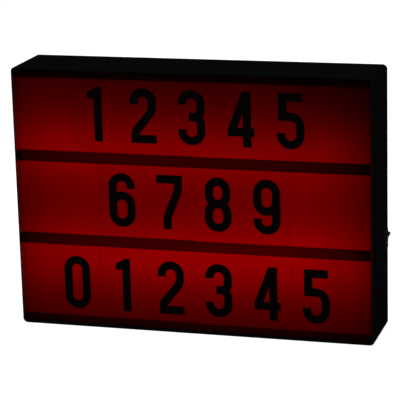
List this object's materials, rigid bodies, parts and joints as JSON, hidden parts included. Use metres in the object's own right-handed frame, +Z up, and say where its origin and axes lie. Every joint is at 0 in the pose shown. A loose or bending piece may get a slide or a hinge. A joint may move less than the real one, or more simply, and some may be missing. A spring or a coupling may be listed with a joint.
{
  "type": "cinema light box",
  "caption": "Free-standing lit sign: shallow box frame, backlit front panel with railed rows of sliding letter tiles, side rocker switch and hinged battery door at the back.",
  "frame": {"origin": "centre of the base, at the bottom of the frame, halfway along its width and its depth", "axes": "+X to the right along the width as seen from the front, +Y from the lit front to the back, +Z up"},
  "size_m": [0.304, 0.056, 0.218],
  "materials": {
    "body_black": "injection-moulded ABS, fine grain",
    "panel_red": "opal red polystyrene, lit from behind",
    "rail": "dark red extruded polystyrene",
    "tile_film": "clear PET film",
    "plate_white": "white polystyrene sheet",
    "strip_white": "white solder mask",
    "led": "moulded LED package",
    "board_green": "green solder mask",
    "chip_black": "moulded epoxy",
    "socket_white": "moulded nylon",
    "jack_black": "moulded PBT",
    "switch_black": "moulded nylon, satin",
    "metal": "nickel-plated strip",
    "screw_black": "black oxide steel",
    "cell": "plain grey sleeve",
    "wire_red": "PVC insulation",
    "wire_black": "PVC insulation"
  },
  "bodies": {
    "housing": {"frame": "body_black", "back_cover": "body_black", "cover_screws": "screw_black", "diffuser_panel": "panel_red", "rail_top": "rail", "rail_upper": "rail", "rail_lower": "rail", "rail_bottom": "rail", "led_plate": "plate_white", "led_strip_upper": "strip_white", "led_strip_lower": "strip_white", "leds_upper": "led", "leds_lower": "led", "control_board": "board_green", "driver_chip": "chip_black", "board_parts": "chip_black", "board_terminals": "socket_white", "dc_jack": "jack_black", "jack_contacts": "metal", "switch_body": "switch_black", "switch_terminals": "metal", "contact_plates": "metal", "contact_springs": "metal", "wire_battery_switch": "wire_red", "wire_battery_board": "wire_black", "wire_switch_board": "wire_red", "wire_jack_board": "wire_red", "wire_leds": "wire_black", "aa_cell_1": "cell", "aa_cell_2": "cell", "aa_cell_3": "cell", "aa_cell_4": "cell", "aa_cell_5": "cell", "aa_cell_6": "cell"},
    "letter_row1_1": {"tile_row1_1": "tile_film"},
    "letter_row1_2": {"tile_row1_2": "tile_film"},
    "letter_row1_3": {"tile_row1_3": "tile_film"},
    "letter_row1_4": {"tile_row1_4": "tile_film"},
    "letter_row1_5": {"tile_row1_5": "tile_film"},
    "letter_row2_1": {"tile_row2_1": "tile_film"},
    "letter_row2_2": {"tile_row2_2": "tile_film"},
    "letter_row2_3": {"tile_row2_3": "tile_film"},
    "letter_row2_4": {"tile_row2_4": "tile_film"},
    "letter_row3_1": {"tile_row3_1": "tile_film"},
    "letter_row3_2": {"tile_row3_2": "tile_film"},
    "letter_row3_3": {"tile_row3_3": "tile_film"},
    "letter_row3_4": {"tile_row3_4": "tile_film"},
    "letter_row3_5": {"tile_row3_5": "tile_film"},
    "letter_row3_6": {"tile_row3_6": "tile_film"},
    "rocker": {"rocker_button": "switch_black"},
    "door": {"battery_door": "body_black"}
  },
  "joints": [
    {"name": "row1_slide_1", "type": "slide", "parent": "housing", "child": "letter_row1_1", "axis": [1, 0, 0], "range_m": [-0.0479, 0.0445]},
    {"name": "row1_slide_2", "type": "slide", "parent": "housing", "child": "letter_row1_2", "axis": [1, 0, 0], "range_m": [-0.0479, 0.0445]},
    {"name": "row1_slide_3", "type": "slide", "parent": "housing", "child": "letter_row1_3", "axis": [1, 0, 0], "range_m": [-0.0479, 0.0445]},
    {"name": "row1_slide_4", "type": "slide", "parent": "housing", "child": "letter_row1_4", "axis": [1, 0, 0], "range_m": [-0.0479, 0.0445]},
    {"name": "row1_slide_5", "type": "slide", "parent": "housing", "child": "letter_row1_5", "axis": [1, 0, 0], "range_m": [-0.0479, 0.0445]},
    {"name": "row2_slide_1", "type": "slide", "parent": "housing", "child": "letter_row2_1", "axis": [1, 0, 0], "range_m": [-0.068, 0.065]},
    {"name": "row2_slide_2", "type": "slide", "parent": "housing", "child": "letter_row2_2", "axis": [1, 0, 0], "range_m": [-0.068, 0.065]},
    {"name": "row2_slide_3", "type": "slide", "parent": "housing", "child": "letter_row2_3", "axis": [1, 0, 0], "range_m": [-0.068, 0.065]},
    {"name": "row2_slide_4", "type": "slide", "parent": "housing", "child": "letter_row2_4", "axis": [1, 0, 0], "range_m": [-0.068, 0.065]},
    {"name": "row3_slide_1", "type": "slide", "parent": "housing", "child": "letter_row3_1", "axis": [1, 0, 0], "range_m": [-0.0264, 0.0254]},
    {"name": "row3_slide_2", "type": "slide", "parent": "housing", "child": "letter_row3_2", "axis": [1, 0, 0], "range_m": [-0.0264, 0.0254]},
    {"name": "row3_slide_3", "type": "slide", "parent": "housing", "child": "letter_row3_3", "axis": [1, 0, 0], "range_m": [-0.0264, 0.0254]},
    {"name": "row3_slide_4", "type": "slide", "parent": "housing", "child": "letter_row3_4", "axis": [1, 0, 0], "range_m": [-0.0264, 0.0254]},
    {"name": "row3_slide_5", "type": "slide", "parent": "housing", "child": "letter_row3_5", "axis": [1, 0, 0], "range_m": [-0.0264, 0.0254]},
    {"name": "row3_slide_6", "type": "slide", "parent": "housing", "child": "letter_row3_6", "axis": [1, 0, 0], "range_m": [-0.0264, 0.0254]},
    {"name": "rocker_turn", "type": "hinge", "parent": "housing", "child": "rocker", "pos_m": [0.1495, 0.017, 0.0765], "axis": [0, -1, 0], "range_deg": [0, 24]},
    {"name": "door_hinge", "type": "hinge", "parent": "housing", "child": "door", "pos_m": [0, 0.026, 0.0223], "axis": [-1, 0, 0], "range_deg": [0, 95]}
  ],
  "couplings": [
    {"joint": "row1_slide_2", "follows": "row1_slide_1", "ratio": 1},
    {"joint": "row1_slide_3", "follows": "row1_slide_1", "ratio": 1},
    {"joint": "row1_slide_4", "follows": "row1_slide_1", "ratio": 1},
    {"joint": "row1_slide_5", "follows": "row1_slide_1", "ratio": 1},
    {"joint": "row2_slide_2", "follows": "row2_slide_1", "ratio": 1},
    {"joint": "row2_slide_3", "follows": "row2_slide_1", "ratio": 1},
    {"joint": "row2_slide_4", "follows": "row2_slide_1", "ratio": 1},
    {"joint": "row3_slide_2", "follows": "row3_slide_1", "ratio": 1},
    {"joint": "row3_slide_3", "follows": "row3_slide_1", "ratio": 1},
    {"joint": "row3_slide_4", "follows": "row3_slide_1", "ratio": 1},
    {"joint": "row3_slide_5", "follows": "row3_slide_1", "ratio": 1},
    {"joint": "row3_slide_6", "follows": "row3_slide_1", "ratio": 1}
  ]
}
